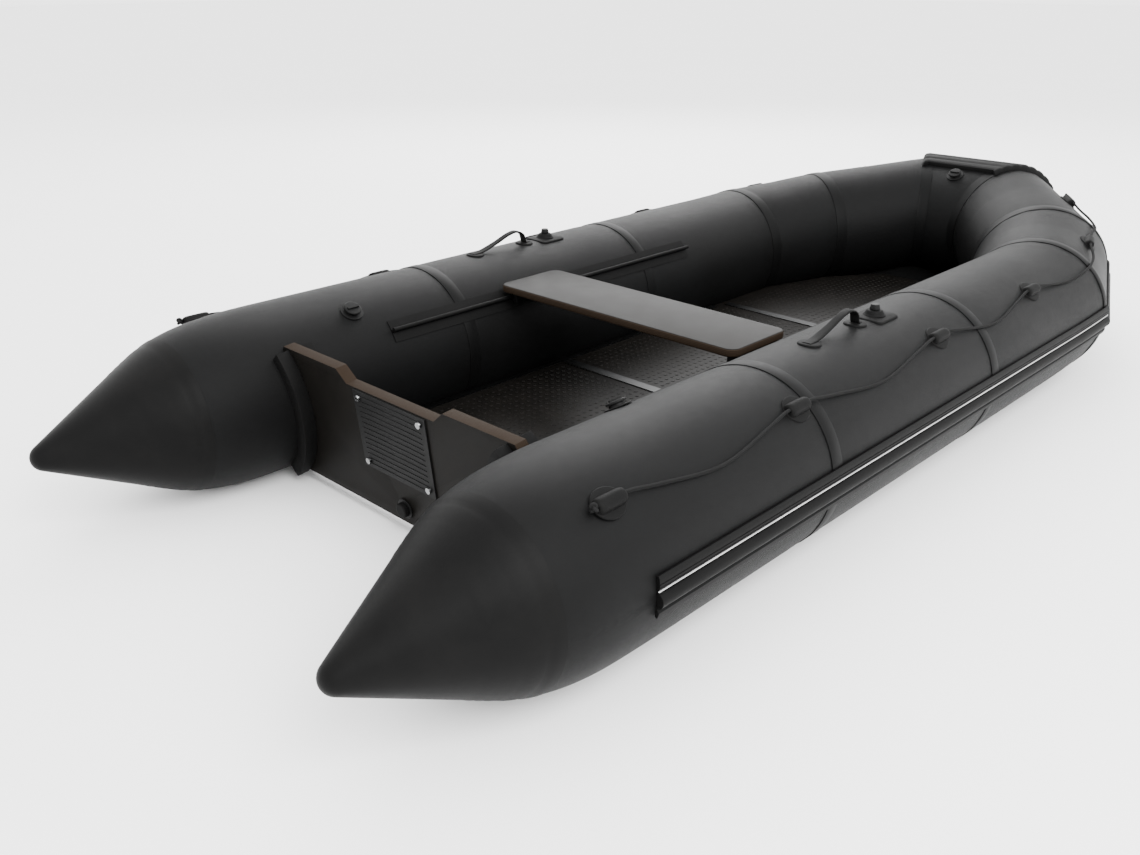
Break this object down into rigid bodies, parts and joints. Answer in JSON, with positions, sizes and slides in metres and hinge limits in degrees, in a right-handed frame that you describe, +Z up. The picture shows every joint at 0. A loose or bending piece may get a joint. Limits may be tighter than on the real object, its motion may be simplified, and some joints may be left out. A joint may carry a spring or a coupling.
{
  "type": "inflatable dinghy",
  "caption": "Inflatable dinghy: round air tubes with stern cones and raised mitred bow, rigid transom, sectional floor, thwart seat and lifelines.",
  "frame": {"origin": "bottom centre of the boat's box, on the ground between the tubes", "axes": "+X to the bow, +Y to port, +Z up"},
  "size_m": [3.7606, 1.688, 0.5609],
  "materials": {
    "hull_fabric": "coated fabric, satin",
    "rubber": "matt moulded rubber",
    "rope": "braided polyester",
    "plywood": "dark film-faced plywood",
    "aluminium": "dark anodised",
    "plastic": "moulded, fine grain",
    "stainless": "polished stainless"
  },
  "bodies": {
    "hull": {"port_tube": "hull_fabric", "starboard_tube": "hull_fabric", "bow_tube": "hull_fabric", "port_baffle": "hull_fabric", "starboard_baffle": "hull_fabric", "port_stern_cone": "rubber", "starboard_stern_cone": "rubber", "port_strake": "rubber", "starboard_strake": "rubber", "bow_strake": "rubber", "bow_pad": "rubber", "transom_board": "plywood", "port_transom_holder": "rubber", "starboard_transom_holder": "rubber", "outer_motor_plate": "plastic", "inner_motor_plate": "aluminium", "drain_bush": "plastic", "bottom_skin": "hull_fabric", "inflatable_keel": "hull_fabric", "floorboard_1": "plywood", "floorboard_2": "plywood", "bow_board": "plywood", "floor_joiner_1": "aluminium", "floor_joiner_2": "aluminium", "port_stringer": "aluminium", "starboard_stringer": "aluminium", "port_seat_rail": "rubber", "starboard_seat_rail": "rubber", "port_lifeline": "rope", "starboard_lifeline": "rope", "port_rope_fitting_1": "rubber", "starboard_rope_fitting_1": "rubber", "port_rope_fitting_2": "rubber", "starboard_rope_fitting_2": "rubber", "port_rope_fitting_3": "rubber", "starboard_rope_fitting_3": "rubber", "port_rope_fitting_4": "rubber", "starboard_rope_fitting_4": "rubber", "port_rope_fitting_5": "rubber", "starboard_rope_fitting_5": "rubber", "port_rope_fitting_6": "rubber", "starboard_rope_fitting_6": "rubber", "port_handle": "rubber", "starboard_handle": "rubber", "port_oarlock_pad": "rubber", "starboard_oarlock_pad": "rubber", "port_valve_body": "plastic", "starboard_valve_body": "plastic", "bow_valve_body": "plastic", "bow_ring_patch": "rubber"},
    "seat": {"seat_board": "plywood", "port_seat_clip": "plastic", "starboard_seat_clip": "plastic"},
    "port_cap": {"port_valve_cap": "plastic"},
    "starboard_cap": {"starboard_valve_cap": "plastic"},
    "bow_cap": {"bow_valve_cap": "plastic"},
    "drain_plug": {"drain_plug": "rubber"},
    "bow_ring": {"bow_ring": "stainless"},
    "port_pin": {"port_oarlock_pin": "plastic"},
    "starboard_pin": {"starboard_oarlock_pin": "plastic"}
  },
  "joints": [
    {"name": "seat_slide", "type": "slide", "parent": "hull", "child": "seat", "axis": [1, 0, 0], "range_m": [-0.4, 0.6]},
    {"name": "port_cap_turn", "type": "hinge", "parent": "hull", "child": "port_cap", "pos_m": [-1.04073, 0.48377, 0.41581], "axis": [0, -0.5299, 0.848], "range_deg": [0, 90]},
    {"name": "starboard_cap_turn", "type": "hinge", "parent": "hull", "child": "starboard_cap", "pos_m": [-1.04073, -0.48377, 0.41581], "axis": [0, 0.5299, 0.848], "range_deg": [0, 90]},
    {"name": "bow_cap_turn", "type": "hinge", "parent": "hull", "child": "bow_cap", "pos_m": [1.52003, 0, 0.50981], "axis": [-0.5299, 0, 0.848], "range_deg": [0, 90]},
    {"name": "drain_plug_pull", "type": "slide", "parent": "hull", "child": "drain_plug", "axis": [-0.9945, 0, -0.1045], "range_m": [0, 0.035]},
    {"name": "bow_ring_swing", "type": "hinge", "parent": "hull", "child": "bow_ring", "pos_m": [1.85466, 0, 0.22256], "axis": [0, -1, 0], "range_deg": [-25, 140]},
    {"name": "port_oarlock_turn", "type": "hinge", "parent": "hull", "child": "port_pin", "pos_m": [-0.18573, 0.603, 0.46], "axis": [0, 0, 1], "continuous": true},
    {"name": "starboard_oarlock_turn", "type": "hinge", "parent": "hull", "child": "starboard_pin", "pos_m": [-0.18573, -0.603, 0.46], "axis": [0, 0, 1], "continuous": true}
  ]
}
